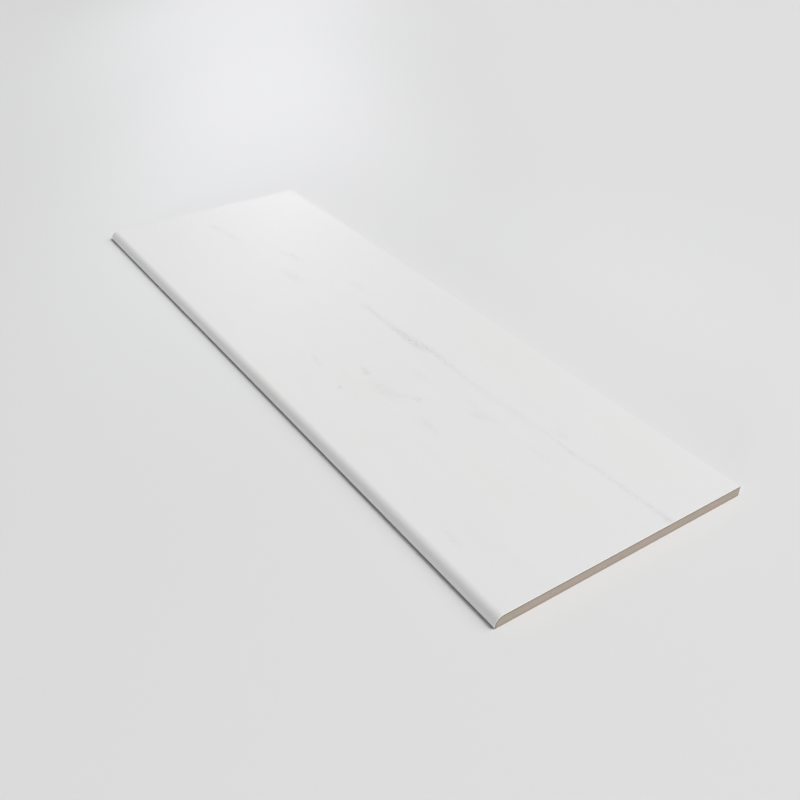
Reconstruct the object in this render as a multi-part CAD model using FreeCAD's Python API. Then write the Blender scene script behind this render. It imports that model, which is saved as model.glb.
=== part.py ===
"""Porcelain bullnose tile: a flat slab with one long edge rolled down to the floor.

Millimetres, +Z up. The origin is the centre of the underside, +X runs along the tile,
and the rolled edge is the long edge on the -Y side.
"""
import math
import os

import FreeCAD, Part

# Driving dimensions
tile_length = 600.0
tile_width = 200.0
tile_thickness = 8.0
foot_bevel = 1.0  # undercut where the rolled edge meets the floor
face_height = 0.6  # upright strip of the rolled edge, between the undercut and the roll
arris_width = 0.4  # fine bevel on the cut top edges, which stay sharp to the eye
tool_margin = 5.0  # how far the bevelling outline runs past the tile's sides and underside

# The roll takes what the undercut and the upright strip leave of the thickness
roll_radius = tile_thickness - foot_bevel - face_height

nose_y = -tile_width / 2
back_y = tile_width / 2
start_x = -tile_length / 2
end_x = tile_length / 2


def quarter_roll(base_z):
    """Quarter circle across the tile, from the upright strip over to the flat top."""
    points = []
    for turn in (0, 45, 90):
        angle = math.radians(turn)
        y = nose_y + roll_radius * (1 - math.cos(angle))
        z = base_z + roll_radius * math.sin(angle)
        points.append(FreeCAD.Vector(start_x, y, z))
    return Part.Arc(*points).toShape()


def polyline(points):
    """Straight edges through the points, in order."""
    vectors = [FreeCAD.Vector(*point) for point in points]
    return [Part.makeLine(first, second) for first, second in zip(vectors, vectors[1:])]


def tile_section():
    """Cross-section of the tile: rolled edge with its undercut foot, flat top, back and underside."""
    roll_base_z = foot_bevel + face_height
    foot_and_face = polyline([
        (start_x, nose_y + foot_bevel, 0),
        (start_x, nose_y, foot_bevel),
        (start_x, nose_y, roll_base_z),
    ])
    roll = quarter_roll(roll_base_z)
    top_back_and_underside = polyline([
        (start_x, nose_y + roll_radius, tile_thickness),
        (start_x, back_y - arris_width, tile_thickness),
        (start_x, back_y, tile_thickness - arris_width),
        (start_x, back_y, 0),
        (start_x, nose_y + foot_bevel, 0),
    ])
    return Part.Face(Part.Wire([*foot_and_face, roll, *top_back_and_underside]))


def bevelled_ends():
    """Block wider and deeper than the tile, with its ends bevelled where they meet the top."""
    outline = polyline([
        (start_x, nose_y - tool_margin, -tool_margin),
        (start_x, nose_y - tool_margin, tile_thickness - arris_width),
        (start_x + arris_width, nose_y - tool_margin, tile_thickness),
        (end_x - arris_width, nose_y - tool_margin, tile_thickness),
        (end_x, nose_y - tool_margin, tile_thickness - arris_width),
        (end_x, nose_y - tool_margin, -tool_margin),
        (start_x, nose_y - tool_margin, -tool_margin),
    ])
    return Part.Face(Part.Wire(outline)).extrude(FreeCAD.Vector(0, tile_width + 2 * tool_margin, 0))


def make_tile():
    """The whole tile, which is pressed and fired as one piece."""
    slab = tile_section().extrude(FreeCAD.Vector(tile_length, 0, 0))
    return slab.common(bevelled_ends()).Solids[0]


os.makedirs("parts", exist_ok=True)
tile = make_tile()
tile.exportStep("parts/bullnose_tile.step")
print("bullnose_tile", round(tile.Volume), "mm3, valid:", tile.isValid())
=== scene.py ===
import bpy
import bmesh
import math
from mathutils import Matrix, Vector


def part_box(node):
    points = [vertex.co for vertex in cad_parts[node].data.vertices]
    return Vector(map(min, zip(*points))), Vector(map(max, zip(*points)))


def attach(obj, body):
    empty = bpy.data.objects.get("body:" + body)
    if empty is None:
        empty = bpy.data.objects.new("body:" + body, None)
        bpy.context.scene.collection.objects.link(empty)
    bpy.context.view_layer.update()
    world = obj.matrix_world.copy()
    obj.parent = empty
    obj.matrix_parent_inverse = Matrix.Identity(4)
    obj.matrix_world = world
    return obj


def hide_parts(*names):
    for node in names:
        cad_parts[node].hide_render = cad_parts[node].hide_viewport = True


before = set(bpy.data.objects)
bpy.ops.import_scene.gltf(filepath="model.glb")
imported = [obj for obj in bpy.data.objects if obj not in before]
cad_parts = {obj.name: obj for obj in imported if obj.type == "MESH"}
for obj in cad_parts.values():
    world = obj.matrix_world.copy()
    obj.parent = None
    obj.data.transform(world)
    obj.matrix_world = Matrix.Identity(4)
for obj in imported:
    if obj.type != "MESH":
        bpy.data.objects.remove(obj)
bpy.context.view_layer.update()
tileLow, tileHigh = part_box("bullnose_tile")
print("frame loaded")


def mm(value):
    # Real sizes are written in millimetres, and Blender works in metres
    return value / 1000


def perMetre(size):
    # Texture scale at which one feature is this many millimetres across
    return 1000 / size


def paint(hexColour):
    # sRGB hex to linear
    values = []
    for place in (1, 3, 5):
        share = int(hexColour[place:place + 2], 16) / 255
        values.append(share / 12.92 if share <= 0.04045 else ((share + 0.055) / 1.055) ** 2.4)
    return (*values, 1.0)


def addNode(tree, kind, sockets=None, **settings):
    # Adds a node, sets it up, and fills its sockets with plain values or links
    node = tree.nodes.new(kind)
    for name, value in settings.items():
        setattr(node, name, value)
    for identifier, value in (sockets or {}).items():
        socket = next(s for s in node.inputs if s.identifier == identifier)
        if isinstance(value, bpy.types.NodeSocket):
            tree.links.new(value, socket)
        else:
            socket.default_value = value
    return node


def newMaterial(name):
    material = bpy.data.materials.new(name)
    material.use_nodes = True
    material.node_tree.nodes.clear()
    return material, material.node_tree


def drawCurve(node, points, spans):
    # Lays a float curve through points given in the millimetres of the two spans
    curve = node.mapping.curves[0]
    scaled = [(x / spans[0], y / spans[1]) for x, y in points]
    for place, point in zip(curve.points, (scaled[0], scaled[-1])):
        place.location = point
    for point in scaled[1:-1]:
        curve.points.new(*point)
    for point in curve.points:
        point.handle_type = "VECTOR"
    node.mapping.update()


def pickPoints(piece, test):
    # Edit mode: selects the points that pass the test
    bpy.ops.mesh.select_mode(type="VERT")
    bpy.ops.mesh.select_all(action="DESELECT")
    shape = bmesh.from_edit_mesh(piece.data)
    for vert in shape.verts:
        vert.select_set(test(vert.co))
    bmesh.update_edit_mesh(piece.data)


def pickFaces(piece, test):
    # Edit mode: selects the faces whose middle and outward direction pass the test
    bpy.ops.mesh.select_mode(type="FACE")
    bpy.ops.mesh.select_all(action="DESELECT")
    shape = bmesh.from_edit_mesh(piece.data)
    for face in shape.faces:
        face.select_set(test(face.calc_center_median(), face.normal))
    bmesh.update_edit_mesh(piece.data)


def same(first, second):
    return abs(first - second) < mm(0.01)


# Camera: the photograph's view, looking down on the finish end and the rolled edge
camera = {
    "azimuth": 56.113,
    "elevation": 34.545,
    "distance": mm(683.22),
    "target": Vector((mm(89.03), mm(-19.97), 0)),
    "lens": 41.637,
    "sensor": 36,
}


def placeCamera():
    azimuth = math.radians(camera["azimuth"])
    elevation = math.radians(camera["elevation"])
    back = Vector((math.sin(azimuth) * math.cos(elevation),
                   -math.cos(azimuth) * math.cos(elevation),
                   math.sin(elevation)))
    bpy.ops.object.camera_add(
        location=camera["target"] + back * camera["distance"],
        rotation=(math.pi / 2 - elevation, 0, azimuth))
    view = bpy.context.object
    view.name = "photoCamera"
    view.data.lens = camera["lens"]
    view.data.sensor_width = camera["sensor"]
    view.data.clip_start = mm(10)
    bpy.context.scene.camera = view
    print("camera placed")


placeCamera()


# Glazed face: satin glaze over a printed pale marble, fired onto porcelain.
# Places are in millimetres from the start end and from the rolled edge. A pair called noise
# gives the values of a noise texture that count as its lowest and its highest.
marble = {
    "ground": "#E5E5E5",
    "greyVein": "#ABABAA",
    "creamCloud": "#E3E0CA",
    "veinShare": 0.31,
    "cloudShare": 0.09,
    "wander": 1.3,                # how far a vein strays sideways, and over what length
    "wanderLength": 12,
    "wanderNoise": (0.25, 0.75),
    "fibreSize": (4.5, 1.6),      # the veins break up into fibres this long and this wide
    "speckle": 1.5,
    "veinContrast": (0.2, 1.45),
    "veinNoise": (0.86, 1.16),    # fibres and specks added up
    "streakSize": (70, 14),       # soft streaks in the ground, along and across the tile
    "streakTone": (0.992, 1.007),
    "grain": 1.6,                 # the print's dots are finer, and are drawn so coarse to show
    "grainTone": (0.996, 1.004),
    "toneNoise": (0.3, 0.7),
    "paintedLightDrift": (0.982, 1.009),  # painted shade at the rolled edge and painted light at the back edge, scaling the ground's tone
    "flow": 4,                    # width and depth of the glaze's unevenness
    "flowDepth": 0.02,
    "flowStrength": 0.25,
    "roughness": 0.36,
    "roughnessDrift": (-0.03, 0.04),
    "ior": 1.5,
}

# Long veins. route: where one runs; strength: how dark it is along the way, 0 to 1;
# halfWidth: how far it reaches to each side
greyStrands = [
    # the main vein's lower strand
    {"route": [(0, 128), (262, 127.7), (292, 127.4), (306, 127), (336, 126.3), (354, 128),
               (600, 129)],
     "strength": [(0, 0), (257, 0), (264, 0.43), (286, 0.55), (293, 0.4), (304, 0.55),
                  (318, 0.62), (336, 0.85), (350, 0.54), (358, 0), (600, 0)],
     "halfWidth": 4.8},
    # its upper strand
    {"route": [(0, 129), (318, 129.3), (340, 130.5), (352, 131.8), (388, 131.6),
               (404, 129.8), (430, 130.4), (466, 130.6), (600, 130)],
     "strength": [(0, 0), (308, 0), (320, 0.35), (340, 0.52), (350, 0.74), (362, 0.5),
                  (386, 0.44), (402, 0.3), (436, 0.1), (470, 0.14), (480, 0), (600, 0)],
     "halfWidth": 4.6},
    # how it carries on to the finish end
    {"route": [(0, 133), (476, 133.4), (514, 134.2), (545, 136.6), (600, 137.4)],
     "strength": [(0, 0), (440, 0), (452, 0.16), (476, 0.14), (494, 0.28), (508, 0.32),
                  (513, 0.45), (520, 0.28), (535, 0.28), (545, 0.36), (566, 0.26),
                  (580, 0.33), (590, 0.6), (600, 1)],
     "halfWidth": 3.8},
]

# Short veins, smudges and flecks: where one lies, its length and width, how far it turns in
# degrees from the tile's length, and how dark it is
greyFlecks = [
    {"at": (48, 89.8), "size": (48, 12), "turn": 14, "strength": 0.34},
    {"at": (74, 94.2), "size": (50, 12), "turn": 3, "strength": 0.34},
    {"at": (139, 120.6), "size": (38, 13), "turn": 16, "strength": 0.26},
    {"at": (153, 123.6), "size": (34, 10), "turn": 0, "strength": 0.33},
    {"at": (181, 103), "size": (58, 20), "turn": 3, "strength": 0.32},
    {"at": (233, 141.5), "size": (62, 13), "turn": 9, "strength": 0.21},
    {"at": (352.5, 73.3), "size": (20, 8), "turn": -4, "strength": 0.78},
    {"at": (382, 71), "size": (54, 22), "turn": 6, "strength": 0.3},
    {"at": (396, 79), "size": (18, 8), "turn": 36, "strength": 0.33},
    {"at": (405, 85), "size": (17, 8), "turn": 10, "strength": 0.52},
    {"at": (437, 72.8), "size": (40, 11), "turn": -2, "strength": 0.24},
    {"at": (447, 109.5), "size": (28, 14), "turn": 18, "strength": 0.29},
    {"at": (434, 113.8), "size": (26, 8), "turn": -6, "strength": 0.25},
    {"at": (456, 113.6), "size": (18, 8), "turn": 40, "strength": 0.2},
    {"at": (503, 115), "size": (46, 9), "turn": 2, "strength": 0.16},
    {"at": (380, 104.5), "size": (36, 11), "turn": 0, "strength": 0.18},
    {"at": (360, 45.8), "size": (6, 5), "turn": 0, "strength": 0.98},
    {"at": (316, 50.8), "size": (32, 8), "turn": -10, "strength": 0.28},
    {"at": (537, 18), "size": (34, 10), "turn": -4, "strength": 0.23},
    {"at": (494, 142), "size": (26, 14), "turn": 0, "strength": 0.22},
]

# Faint warm clouds in the ground, given as the flecks are
creamClouds = [
    {"at": (400, 176), "size": (190, 66), "turn": -6, "strength": 1},
    {"at": (538, 174), "size": (120, 60), "turn": -8, "strength": 1},
    {"at": (366, 62), "size": (96, 34), "turn": 8, "strength": 1},
    {"at": (505, 71), "size": (110, 30), "turn": -6, "strength": 0.8},
    {"at": (550, 100), "size": (60, 34), "turn": -10, "strength": 0.7},
    {"at": (424, 25), "size": (50, 20), "turn": 0, "strength": 0.6},
    {"at": (326, 8), "size": (80, 16), "turn": 0, "strength": 0.6},
]


def sumUp(tree, total, share, strength):
    # Adds one mark's share times its strength to the running total
    sockets = {"Value": share, "Value_001": strength}
    if total is None:
        return addNode(tree, "ShaderNodeMath", sockets, operation="MULTIPLY").outputs[0]
    sockets["Value_002"] = total
    return addNode(tree, "ShaderNodeMath", sockets, operation="MULTIPLY_ADD").outputs[0]


def addStrands(tree, spot, strands):
    # The strands' darkness at each point
    split = addNode(tree, "ShaderNodeSeparateXYZ", {"Vector": spot})
    spans = [(tileHigh[axis] - tileLow[axis]) * 1000 for axis in (0, 1)]
    along, across = [addNode(tree, "ShaderNodeMapRange",
                             {"Value": split.outputs[axis], "From Min": tileLow[axis],
                              "From Max": tileHigh[axis]}, clamp=False).outputs[0]
                     for axis in (0, 1)]
    total = None
    for strand in strands:
        route = addNode(tree, "ShaderNodeFloatCurve", {"Value": along})
        drawCurve(route, strand["route"], spans)
        strength = addNode(tree, "ShaderNodeFloatCurve", {"Value": along})
        drawCurve(strength, strand["strength"], (spans[0], 1))
        offset = addNode(tree, "ShaderNodeMath",
                         {"Value": across, "Value_001": route.outputs[0]}, operation="SUBTRACT")
        distance = addNode(tree, "ShaderNodeMath", {"Value": offset.outputs[0]},
                           operation="ABSOLUTE")
        share = addNode(tree, "ShaderNodeMapRange",
                        {"Value": distance.outputs[0], "From Max": strand["halfWidth"] / spans[1],
                         "To Min": 1, "To Max": 0},
                        interpolation_type="SMOOTHERSTEP")
        total = sumUp(tree, total, share.outputs[0], strength.outputs[0])
    return total


def addPatches(tree, spot, corner, patches, total=None):
    # The strength of oval patches that fade out to their rims, placed from a corner
    for patch in patches:
        middle = corner + Vector((mm(patch["at"][0]), mm(patch["at"][1]), 0))
        halfSize = (mm(patch["size"][0] / 2), mm(patch["size"][1] / 2), 1)
        turned = addNode(tree, "ShaderNodeMapping",
                         {"Vector": spot, "Location": middle,
                          "Rotation": (0, 0, math.radians(patch["turn"])), "Scale": halfSize},
                         vector_type="TEXTURE")
        distance = addNode(tree, "ShaderNodeVectorMath", {"Vector": turned.outputs[0]},
                           operation="LENGTH")
        share = addNode(tree, "ShaderNodeMapRange",
                        {"Value": distance.outputs["Value"], "To Min": 1, "To Max": 0},
                        interpolation_type="SMOOTHERSTEP")
        total = sumUp(tree, total, share.outputs[0], patch["strength"])
    return total


def makeMarbleGlaze():
    # Porcelain with an inkjet-printed marble under a satin glaze: pale, quiet, faintly sheeny
    material, tree = newMaterial("satin_glaze_over_printed_marble")
    place = addNode(tree, "ShaderNodeTexCoord").outputs["Object"]

    # The veins wander off their routes
    wander = addNode(tree, "ShaderNodeTexNoise",
                     {"Vector": place, "Scale": perMetre(marble["wanderLength"]), "Detail": 4,
                      "Roughness": 0.7})
    sideways = addNode(tree, "ShaderNodeMapRange",
                       {"Value": wander.outputs["Fac"], "From Min": marble["wanderNoise"][0],
                        "From Max": marble["wanderNoise"][1], "To Min": -mm(marble["wander"]),
                        "To Max": mm(marble["wander"])},
                       clamp=False)
    stray = addNode(tree, "ShaderNodeCombineXYZ", {"Y": sideways.outputs[0]})
    strayed = addNode(tree, "ShaderNodeVectorMath",
                      {"Vector": place, "Vector_001": stray.outputs[0]}, operation="ADD")
    spot = strayed.outputs[0]

    # Short fibres and specks break them up
    stretch = addNode(tree, "ShaderNodeMapping",
                      {"Vector": place, "Scale": (*map(perMetre, marble["fibreSize"]), 0)})
    fibres = addNode(tree, "ShaderNodeTexNoise",
                     {"Vector": stretch.outputs[0], "Scale": 1, "Detail": 3, "Roughness": 0.6})
    speckle = addNode(tree, "ShaderNodeTexNoise",
                      {"Vector": place, "Scale": perMetre(marble["speckle"]), "Detail": 2,
                       "Roughness": 0.6})
    brokenUp = addNode(tree, "ShaderNodeMath",
                       {"Value": fibres.outputs["Fac"], "Value_001": speckle.outputs["Fac"]},
                       operation="ADD")
    breakUp = addNode(tree, "ShaderNodeMapRange",
                      {"Value": brokenUp.outputs[0], "From Min": marble["veinNoise"][0],
                       "From Max": marble["veinNoise"][1], "To Min": marble["veinContrast"][0],
                       "To Max": marble["veinContrast"][1]})
    corner = Vector((tileLow.x, tileLow.y, tileHigh.z))
    strands = addStrands(tree, spot, greyStrands)
    veins = addPatches(tree, spot, corner, greyFlecks, strands)
    veined = addNode(tree, "ShaderNodeMath", {"Value": veins, "Value_001": breakUp.outputs[0]},
                     operation="MULTIPLY")
    veinShare = addNode(tree, "ShaderNodeMath",
                        {"Value": veined.outputs[0], "Value_001": marble["veinShare"]},
                        operation="MULTIPLY", use_clamp=True)
    clouds = addPatches(tree, spot, corner, creamClouds)
    cloudShare = addNode(tree, "ShaderNodeMath",
                         {"Value": clouds, "Value_001": marble["cloudShare"]},
                         operation="MULTIPLY")

    # Quiet mottling of the printed ground, in soft streaks along the tile, and a slow drift of
    # painted light across it, darker at the rolled edge and lighter at the back edge
    streakPlace = addNode(tree, "ShaderNodeMapping",
                          {"Vector": place, "Scale": (*map(perMetre, marble["streakSize"]), 0)})
    streaks = addNode(tree, "ShaderNodeTexNoise",
                      {"Vector": streakPlace.outputs[0], "Scale": 1, "Detail": 5,
                       "Roughness": 0.6, "Distortion": 0.4})
    streakTone = addNode(tree, "ShaderNodeMapRange",
                         {"Value": streaks.outputs["Fac"], "From Min": marble["toneNoise"][0],
                          "From Max": marble["toneNoise"][1],
                          "To Min": marble["streakTone"][0], "To Max": marble["streakTone"][1]})
    grain = addNode(tree, "ShaderNodeTexNoise",
                    {"Vector": place, "Scale": perMetre(marble["grain"]), "Detail": 2})
    grainTone = addNode(tree, "ShaderNodeMapRange",
                        {"Value": grain.outputs["Fac"], "From Min": marble["toneNoise"][0],
                         "From Max": marble["toneNoise"][1],
                         "To Min": marble["grainTone"][0], "To Max": marble["grainTone"][1]})
    mottle = addNode(tree, "ShaderNodeMath",
                     {"Value": streakTone.outputs[0], "Value_001": grainTone.outputs[0]},
                     operation="MULTIPLY")
    across = addNode(tree, "ShaderNodeSeparateXYZ", {"Vector": place})
    # Painted light: the ground is darkened towards the rolled edge and lightened towards the back
    # edge, as the light falls
    paintedLightDrift = addNode(tree, "ShaderNodeMapRange",
                        {"Value": across.outputs["Y"], "From Min": tileLow.y,
                         "From Max": tileHigh.y, "To Min": marble["paintedLightDrift"][0],
                         "To Max": marble["paintedLightDrift"][1]})
    tone = addNode(tree, "ShaderNodeMath",
                   {"Value": mottle.outputs[0], "Value_001": paintedLightDrift.outputs[0]},
                   operation="MULTIPLY")
    ground = addNode(tree, "ShaderNodeVectorMath",
                     {"Vector": paint(marble["ground"])[:3], "Scale": tone.outputs[0]},
                     operation="SCALE")
    clouded = addNode(tree, "ShaderNodeMix",
                      {"Factor_Float": cloudShare.outputs[0], "A_Color": ground.outputs[0],
                       "B_Color": paint(marble["creamCloud"])},
                      data_type="RGBA")
    printed = addNode(tree, "ShaderNodeMix",
                      {"Factor_Float": veinShare.outputs[0], "A_Color": clouded.outputs[2],
                       "B_Color": paint(marble["greyVein"])},
                      data_type="RGBA")

    # The glaze flowed and set with the faintest unevenness
    flow = addNode(tree, "ShaderNodeTexNoise",
                   {"Vector": place, "Scale": perMetre(marble["flow"]), "Detail": 3,
                    "Roughness": 0.5})
    smoothest, roughest = [marble["roughness"] + drift for drift in marble["roughnessDrift"]]
    sheen = addNode(tree, "ShaderNodeMapRange",
                    {"Value": streaks.outputs["Fac"], "From Min": marble["toneNoise"][0],
                     "From Max": marble["toneNoise"][1], "To Min": smoothest,
                     "To Max": roughest})
    bump = addNode(tree, "ShaderNodeBump",
                   {"Height": flow.outputs["Fac"], "Strength": marble["flowStrength"],
                    "Distance": mm(marble["flowDepth"])})
    shader = addNode(tree, "ShaderNodeBsdfPrincipled",
                     {"Base Color": printed.outputs[2], "Roughness": sheen.outputs[0],
                      "IOR": marble["ior"], "Normal": bump.outputs[0]})
    addNode(tree, "ShaderNodeOutputMaterial", {"Surface": shader.outputs[0]})
    return material


# Cut edge and underside: bare porcelain body, with the glaze seen edge-on along its top.
# Depths are in millimetres below the glazed face.
body = {
    "biscuit": "#AEA298",
    "pinkish": "#B4A097",     # the tints of its soft patches
    "oliveish": "#A7A08F",
    "patch": 18,
    "patchNoise": (0.35, 0.65),
    "grain": 0.7,             # the real grain is finer, and is drawn so coarse to show
    "grainTone": (0.9, 1.08),
    "grainNoise": (0.3, 0.7),
    "specks": 2.2,            # how far apart the dark specks lie
    "speckReach": (0.08, 0.16),  # how far each darkens the body, as shares of that distance
    "speckTone": 0.78,
    "firedLineAndFootShade": "#6F655B",   # the darker line just under the glaze, and the colour of the painted shade by the floor
    "lineDepths": (0.27, 2),
    "lineShare": 0.8,
    "footShadeHeight": 3,          # painted shade: the bare body is darkened up to this height above the floor
    "footShadeShare": 0.28,
    "glazeEdge": "#E6E5E1",
    "glazeDepths": (0.21, 0.31),
    "kilnWash": "#C4BFB7",
    "washHeights": (0.01, 0.1),
    "washPatch": 9,
    "washNoise": (0.4, 0.6),
    "washShares": (0.2, 0.9),
    "wheelSize": (30, 0.35),  # length and pitch of the cutting wheel's lines
    "reliefDepth": 0.05,
    "reliefStrength": 0.5,
    "roughness": 0.85,
    "ior": 1.5,
}


def makePorcelainBody(rollRadius):
    # Dry-pressed, fired and wheel-cut porcelain: matt, dense, fine-grained and slightly mottled
    material, tree = newMaterial("cut_porcelain_body")
    place = addNode(tree, "ShaderNodeTexCoord").outputs["Object"]
    split = addNode(tree, "ShaderNodeSeparateXYZ", {"Vector": place})

    # Depth below the glazed face, which runs flat and then round the roll
    beforeRoll = addNode(tree, "ShaderNodeMath",
                         {"Value": tileLow.y + rollRadius, "Value_001": split.outputs["Y"]},
                         operation="SUBTRACT")
    aboveRoll = addNode(tree, "ShaderNodeMath",
                        {"Value": split.outputs["Z"], "Value_001": tileHigh.z - rollRadius},
                        operation="SUBTRACT")
    outward = addNode(tree, "ShaderNodeMath", {"Value": beforeRoll.outputs[0], "Value_001": 0},
                      operation="MAXIMUM")
    upward = addNode(tree, "ShaderNodeMath", {"Value": aboveRoll.outputs[0], "Value_001": 0},
                     operation="MAXIMUM")
    arm = addNode(tree, "ShaderNodeCombineXYZ",
                  {"X": outward.outputs[0], "Y": upward.outputs[0]})
    reach = addNode(tree, "ShaderNodeVectorMath", {"Vector": arm.outputs[0]}, operation="LENGTH")
    depth = addNode(tree, "ShaderNodeMath",
                    {"Value": rollRadius, "Value_001": reach.outputs["Value"]},
                    operation="SUBTRACT")

    # Pressed powder fires in soft patches, with a fine grain and a few dark specks
    patches = addNode(tree, "ShaderNodeTexNoise",
                      {"Vector": place, "Scale": perMetre(body["patch"]), "Detail": 3,
                       "Roughness": 0.55})
    patchShare = addNode(tree, "ShaderNodeMapRange",
                         {"Value": patches.outputs["Fac"], "From Min": body["patchNoise"][0],
                          "From Max": body["patchNoise"][1]})
    patched = addNode(tree, "ShaderNodeMix",
                      {"Factor_Float": patchShare.outputs[0], "A_Color": paint(body["oliveish"]),
                       "B_Color": paint(body["pinkish"])},
                      data_type="RGBA")
    biscuit = addNode(tree, "ShaderNodeMix",
                      {"Factor_Float": 0.5, "A_Color": paint(body["biscuit"]),
                       "B_Color": patched.outputs[2]},
                      data_type="RGBA")
    grain = addNode(tree, "ShaderNodeTexNoise",
                    {"Vector": place, "Scale": perMetre(body["grain"]), "Detail": 4,
                     "Roughness": 0.7})
    grainTone = addNode(tree, "ShaderNodeMapRange",
                        {"Value": grain.outputs["Fac"], "From Min": body["grainNoise"][0],
                         "From Max": body["grainNoise"][1], "To Min": body["grainTone"][0],
                         "To Max": body["grainTone"][1]})
    specks = addNode(tree, "ShaderNodeTexVoronoi",
                     {"Vector": place, "Scale": perMetre(body["specks"])})
    speckTone = addNode(tree, "ShaderNodeMapRange",
                        {"Value": specks.outputs["Distance"],
                         "From Min": body["speckReach"][0], "From Max": body["speckReach"][1],
                         "To Min": body["speckTone"], "To Max": 1})
    bodyTone = addNode(tree, "ShaderNodeMath",
                       {"Value": grainTone.outputs[0], "Value_001": speckTone.outputs[0]},
                       operation="MULTIPLY")
    bare = addNode(tree, "ShaderNodeVectorMath",
                   {"Vector": biscuit.outputs[2], "Scale": bodyTone.outputs[0]},
                   operation="SCALE")

    # It fires darker in a line just under the glaze, and painted shade darkens it towards the
    # floor
    lineShare = addNode(tree, "ShaderNodeMapRange",
                        {"Value": depth.outputs[0], "From Min": mm(body["lineDepths"][0]),
                         "From Max": mm(body["lineDepths"][1]), "To Min": body["lineShare"],
                         "To Max": 0},
                        interpolation_type="SMOOTHSTEP")
    # Painted shade: the bare body darkens towards the floor, where the contact shade falls
    footShadeShare = addNode(tree, "ShaderNodeMapRange",
                        {"Value": split.outputs["Z"], "From Max": mm(body["footShadeHeight"]),
                         "To Min": body["footShadeShare"], "To Max": 0},
                        interpolation_type="SMOOTHSTEP")
    darkShare = addNode(tree, "ShaderNodeMath",
                        {"Value": lineShare.outputs[0], "Value_001": footShadeShare.outputs[0]},
                        operation="MAXIMUM")
    linedAndShaded = addNode(tree, "ShaderNodeMix",
                    {"Factor_Float": darkShare.outputs[0], "A_Color": bare.outputs[0],
                     "B_Color": paint(body["firedLineAndFootShade"])},
                    data_type="RGBA")

    # Kiln wash clings to the rib tops of the underside
    washHeight = addNode(tree, "ShaderNodeMapRange",
                         {"Value": split.outputs["Z"], "From Min": mm(body["washHeights"][0]),
                          "From Max": mm(body["washHeights"][1]), "To Min": 1, "To Max": 0})
    washPatch = addNode(tree, "ShaderNodeTexNoise",
                        {"Vector": place, "Scale": perMetre(body["washPatch"]), "Detail": 5,
                         "Roughness": 0.7})
    washBreak = addNode(tree, "ShaderNodeMapRange",
                        {"Value": washPatch.outputs["Fac"], "From Min": body["washNoise"][0],
                         "From Max": body["washNoise"][1], "To Min": body["washShares"][0],
                         "To Max": body["washShares"][1]})
    washShare = addNode(tree, "ShaderNodeMath",
                        {"Value": washHeight.outputs[0], "Value_001": washBreak.outputs[0]},
                        operation="MULTIPLY")
    washed = addNode(tree, "ShaderNodeMix",
                     {"Factor_Float": washShare.outputs[0], "A_Color": linedAndShaded.outputs[2],
                      "B_Color": paint(body["kilnWash"])},
                     data_type="RGBA")

    # The glaze itself, smoother and paler, shows as a thin band
    glazeShare = addNode(tree, "ShaderNodeMapRange",
                         {"Value": depth.outputs[0], "From Min": mm(body["glazeDepths"][0]),
                          "From Max": mm(body["glazeDepths"][1]), "To Min": 1, "To Max": 0})
    finished = addNode(tree, "ShaderNodeMix",
                       {"Factor_Float": glazeShare.outputs[0], "A_Color": washed.outputs[2],
                        "B_Color": paint(body["glazeEdge"])},
                       data_type="RGBA")
    roughness = addNode(tree, "ShaderNodeMapRange",
                        {"Value": glazeShare.outputs[0], "To Min": body["roughness"],
                         "To Max": marble["roughness"]})

    # The cutting wheel leaves fine lines along the edge
    lineLength, linePitch = map(perMetre, body["wheelSize"])
    wheelPlace = addNode(tree, "ShaderNodeMapping",
                         {"Vector": place, "Scale": (lineLength, lineLength, linePitch)})
    wheel = addNode(tree, "ShaderNodeTexNoise",
                    {"Vector": wheelPlace.outputs[0], "Scale": 1, "Detail": 2})
    relief = addNode(tree, "ShaderNodeMath",
                     {"Value": wheel.outputs["Fac"], "Value_001": grain.outputs["Fac"]},
                     operation="ADD")
    bump = addNode(tree, "ShaderNodeBump",
                   {"Height": relief.outputs[0], "Strength": body["reliefStrength"],
                    "Distance": mm(body["reliefDepth"])})
    shader = addNode(tree, "ShaderNodeBsdfPrincipled",
                     {"Base Color": finished.outputs[2], "Roughness": roughness.outputs[0],
                      "IOR": body["ior"], "Normal": bump.outputs[0]})
    addNode(tree, "ShaderNodeOutputMaterial", {"Surface": shader.outputs[0]})
    return material


tile = {
    "rollRadius": mm(6.4),
    "rollSteps": 36,
    "footBevel": mm(1),      # undercut below the rolled edge
    "arris": mm(0.25),       # fine bevel that eases the cut edges
    "keyBorder": mm(8),      # plain band round the underside
    "keyCells": (24, 8),     # sunk keys, along and across
    "ribWidth": mm(2.6),     # between two keys
    "keySlope": mm(0.5),
    "keyDepth": mm(0.5),
}


def easeCorner(piece, y, z, radius, steps):
    # Rounds one corner of the section
    pickPoints(piece, lambda at: same(at.y, y) and same(at.z, z))
    bpy.ops.mesh.bevel(offset=radius, segments=steps, profile=0.5, affect="VERTICES",
                       clamp_overlap=False)


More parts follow.
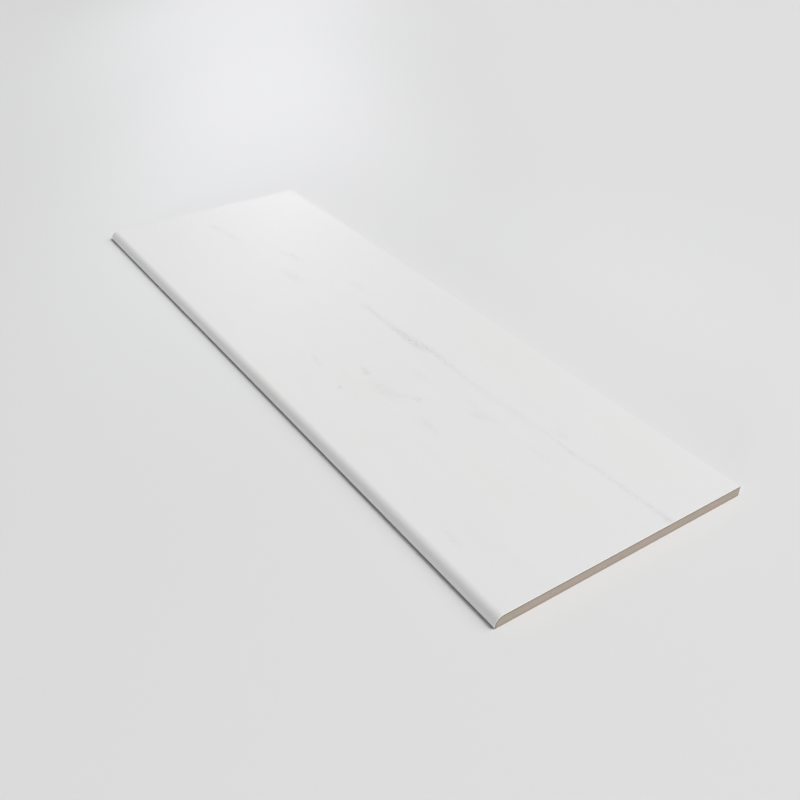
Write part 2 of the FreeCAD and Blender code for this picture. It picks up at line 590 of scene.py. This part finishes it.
def makeTile():
    # The section is drawn as a flat plate, its corners rounded, and run out to the tile's length
    size = tileHigh - tileLow
    middle = (tileLow + tileHigh) / 2
    bpy.ops.object.select_all(action="DESELECT")
    plateCentre = Vector((tileLow.x + tile["arris"], middle.y, middle.z))
    bpy.ops.mesh.primitive_plane_add(size=1, location=plateCentre, rotation=(0, math.pi / 2, 0))
    piece = bpy.context.object
    piece.name = "porcelain_bullnose"
    bpy.ops.object.transform_apply(location=True, rotation=True, scale=True)
    bpy.ops.object.mode_set(mode="EDIT")
    bpy.ops.transform.resize(value=(1, size.y, size.z), center_override=plateCentre)
    easeCorner(piece, tileLow.y, tileHigh.z, tile["rollRadius"], tile["rollSteps"])
    easeCorner(piece, tileLow.y, tileLow.z, tile["footBevel"], 1)
    easeCorner(piece, tileHigh.y, tileHigh.z, tile["arris"], 1)
    bpy.ops.mesh.select_all(action="SELECT")
    bpy.ops.mesh.extrude_region_move(
        TRANSFORM_OT_translate={"value": (size.x - 2 * tile["arris"], 0, 0)})
    bpy.ops.mesh.select_all(action="SELECT")
    bpy.ops.mesh.normals_make_consistent(inside=False)

    # Both ends are cut square, and their edges eased, but not along the floor
    pickFaces(piece, lambda middle, outward: abs(outward.x) > 0.99)
    bpy.ops.mesh.inset(thickness=tile["arris"], depth=tile["arris"])
    pickPoints(piece, lambda at: same(at.z, tileLow.z + tile["arris"])
               and (same(at.x, tileLow.x) or same(at.x, tileHigh.x)))
    bpy.ops.transform.translate(value=(0, 0, -tile["arris"]))
    pressUnderside(piece)
    bpy.ops.object.mode_set(mode="OBJECT")
    return piece


def facesDown(outward):
    return outward.z < -0.9999


def pressUnderside(piece):
    # Sunk keys for the adhesive, between ribs that stand on the floor
    pickFaces(piece, lambda middle, outward: facesDown(outward))
    bpy.ops.mesh.inset(thickness=tile["keyBorder"], depth=0)
    field = next(face for face in bmesh.from_edit_mesh(piece.data).faces if face.select)
    fieldLow = Vector(min(vert.co[axis] for vert in field.verts) for axis in range(3))
    fieldHigh = Vector(max(vert.co[axis] for vert in field.verts) for axis in range(3))

    def inField(middle, outward):
        inside = all(fieldLow[axis] < middle[axis] < fieldHigh[axis] for axis in (0, 1))
        return inside and facesDown(outward)

    for axis, cells in enumerate(tile["keyCells"]):
        across = Vector((1, 0, 0)) if axis == 0 else Vector((0, 1, 0))
        for cut in range(1, cells):
            pickFaces(piece, inField)
            bpy.ops.mesh.bisect(plane_co=fieldLow.lerp(fieldHigh, cut / cells), plane_no=across)
    pickFaces(piece, inField)
    bpy.ops.mesh.inset(thickness=tile["ribWidth"] / 2, depth=0, use_individual=True)
    bpy.ops.mesh.inset(thickness=tile["keySlope"], depth=-tile["keyDepth"], use_individual=True)


def finishTile(piece, glaze, cutBody):
    # Glaze on the face and the roll; bare body on the cut edges, the undercut and the underside
    piece.data.materials.append(glaze)
    piece.data.materials.append(cutBody)
    bpy.ops.object.mode_set(mode="EDIT")

    def bareBody(middle, outward):
        onEnd = middle.x < tileLow.x + tile["arris"] or middle.x > tileHigh.x - tile["arris"]
        onBack = middle.y > tileHigh.y - tile["arris"]
        below = middle.z < tileLow.z + tile["footBevel"]
        return onEnd or onBack or below

    pickFaces(piece, bareBody)
    piece.active_material_index = 1
    bpy.ops.object.material_slot_assign()
    bpy.ops.object.mode_set(mode="OBJECT")

    # Round surfaces shade smoothly, and the flat ones keep their own flat shading
    bpy.ops.object.shade_smooth_by_angle(angle=math.radians(30))
    bpy.ops.object.modifier_add(type="WEIGHTED_NORMAL")
    bpy.context.object.modifiers[-1].keep_sharp = True
    bpy.ops.object.modifier_apply(modifier=piece.modifiers[-1].name)
    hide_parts("bullnose_tile")
    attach(piece, "root")


tilePiece = makeTile()
print("tile shaped:", len(tilePiece.data.polygons), "faces")
finishTile(tilePiece, makeMarbleGlaze(), makePorcelainBody(tile["rollRadius"]))
print("tile glazed")


# Studio: a pale board under soft keys from the right, with weaker fills; painted pools of light
# and a painted falloff of light lie in the board's colour.
# Places on the board are in millimetres from the tile's middle, ahead and to the left as the
# camera looks.
studio = {
    "boardLeft": "#D9DAD9",
    "boardRight": "#E2E2E2",
    "paintedFalloffSpan": (509, -223),   # how far left the board's painted falloff of light starts and ends
    # the colour of the painted pools of light
    "paintedGlowColour": "#F4F4F7",
    "boardRadius": 12,          # metres, as is where the board fades into the air's colour
    "fadeSpan": (2.2, 7),
    "boardRoughness": 0.9,
    "air": 0.03,
    "glossAir": 0.9,            # how much of the pale surroundings a glossy surface mirrors
    "airColour": "#DEDEDE",
}

# Painted pools of light on the board; the last one lightens the board by the tile's back edge,
# where the front fill casts a shadow
paintedGlowPools = [
    {"at": (1234, 254), "size": (2314, 918), "turn": 0, "strength": 0.7},
    {"at": (467, 126), "size": (1516, 624), "turn": 0, "strength": 0.52},
    {"at": (805, 137), "size": (1990, 810), "turn": 0, "strength": 0.1},
    {"at": (50, -200), "size": (800, 800), "turn": 0, "strength": 0.15},
]

# azimuth: from the tile's length, in degrees; spread: how wide it looks from the tile;
# level: what a white card facing it would show, 1 for white; mirrored: whether it shows in gloss
lamps = {
    "highKey": {"azimuth": 45, "elevation": 54, "spread": 24, "level": 0.545, "mirrored": False},
    "wideKey": {"azimuth": 65, "elevation": 44, "spread": 50, "level": 0.545, "mirrored": False},
    "frontFill": {"azimuth": 300, "elevation": 3, "spread": 6, "level": 0.36, "mirrored": False},
    "backFill": {"azimuth": 210, "elevation": 60, "spread": 50, "level": 0.09, "mirrored": True},
    "farSheen": {"azimuth": 154, "elevation": 17, "spread": 10, "level": 0.029, "mirrored": True},
    "backSheen": {"azimuth": 118, "elevation": 30, "spread": 30, "level": 0.03, "mirrored": True},
}


def makeBoard():
    # Matt painted board: no gloss, a tone that drifts from left to right as a painted falloff of
    # light, and painted pools of soft glow
    material, tree = newMaterial("matt_studio_board")
    place = addNode(tree, "ShaderNodeTexCoord").outputs["Object"]
    ahead = math.radians(camera["azimuth"] + 90)
    turned = addNode(tree, "ShaderNodeMapping", {"Vector": place, "Rotation": (0, 0, ahead)},
                     vector_type="TEXTURE")
    sideways = addNode(tree, "ShaderNodeSeparateXYZ", {"Vector": turned.outputs[0]})
    # Painted light: the board is painted darker on the left and lighter on the right, as the
    # keys' light falls off
    drift = addNode(tree, "ShaderNodeMapRange",
                    {"Value": sideways.outputs["Y"], "From Min": mm(studio["paintedFalloffSpan"][0]),
                     "From Max": mm(studio["paintedFalloffSpan"][1])})
    plain = addNode(tree, "ShaderNodeMix",
                    {"Factor_Float": drift.outputs[0], "A_Color": paint(studio["boardLeft"]),
                     "B_Color": paint(studio["boardRight"])},
                    data_type="RGBA")
    # Painted light: pools of soft glow mixed into the board's colour
    paintedGlow = addPatches(tree, turned.outputs[0], Vector(), paintedGlowPools)
    withPaintedGlow = addNode(tree, "ShaderNodeMix",
                      {"Factor_Float": paintedGlow, "A_Color": plain.outputs[2],
                       "B_Color": paint(studio["paintedGlowColour"])},
                      data_type="RGBA")
    away = addNode(tree, "ShaderNodeVectorMath", {"Vector": place}, operation="LENGTH")
    fade = addNode(tree, "ShaderNodeMapRange",
                   {"Value": away.outputs["Value"], "From Min": studio["fadeSpan"][0],
                    "From Max": studio["fadeSpan"][1]},
                   interpolation_type="SMOOTHSTEP")
    faded = addNode(tree, "ShaderNodeMix",
                    {"Factor_Float": fade.outputs[0], "A_Color": withPaintedGlow.outputs[2],
                     "B_Color": paint(studio["airColour"])},
                    data_type="RGBA")
    shader = addNode(tree, "ShaderNodeBsdfPrincipled",
                     {"Base Color": faded.outputs[2], "Roughness": studio["boardRoughness"],
                      "Specular IOR Level": 0})
    addNode(tree, "ShaderNodeOutputMaterial", {"Surface": shader.outputs[0]})
    bpy.ops.mesh.primitive_circle_add(vertices=96, radius=studio["boardRadius"],
                                      fill_type="NGON")
    board = bpy.context.object
    board.name = "studio_board"
    board.data.materials.append(material)


def makeLight():
    # The air is pale to the camera and in gloss, and lights the tile only a little
    world = bpy.data.worlds.new("studioAir")
    bpy.context.scene.world = world
    world.use_nodes = True
    tree = world.node_tree
    tree.nodes.clear()
    rays = addNode(tree, "ShaderNodeLightPath")
    glossy = addNode(tree, "ShaderNodeMath",
                     {"Value": rays.outputs["Is Glossy Ray"], "Value_001": studio["glossAir"]},
                     operation="MULTIPLY")
    seen = addNode(tree, "ShaderNodeMath",
                   {"Value": rays.outputs["Is Camera Ray"], "Value_001": glossy.outputs[0]},
                   operation="MAXIMUM")
    strength = addNode(tree, "ShaderNodeMapRange",
                       {"Value": seen.outputs[0], "To Min": studio["air"], "To Max": 1})
    tint = addNode(tree, "ShaderNodeMix",
                   {"Factor_Float": seen.outputs[0], "A_Color": (1, 1, 1, 1),
                    "B_Color": paint(studio["airColour"])},
                   data_type="RGBA")
    air = addNode(tree, "ShaderNodeBackground",
                  {"Color": tint.outputs[2], "Strength": strength.outputs[0]})
    addNode(tree, "ShaderNodeOutputWorld", {"Surface": air.outputs[0]})

    # Each lamp stands far off, so it lights the whole board evenly
    for name, lamp in lamps.items():
        azimuth, elevation = math.radians(lamp["azimuth"]), math.radians(lamp["elevation"])
        direction = Vector((math.cos(azimuth) * math.cos(elevation),
                            math.sin(azimuth) * math.cos(elevation),
                            math.sin(elevation)))
        bpy.ops.object.light_add(type="SUN", location=direction,
                                 rotation=direction.to_track_quat("Z", "Y").to_euler())
        light = bpy.context.object
        light.name = name
        light.data.angle = math.radians(lamp["spread"])
        light.data.energy = math.pi * lamp["level"]
        light.visible_glossy = lamp["mirrored"]


makeBoard()
makeLight()
bpy.context.scene.view_settings.view_transform = "Standard"
print("studio lit")
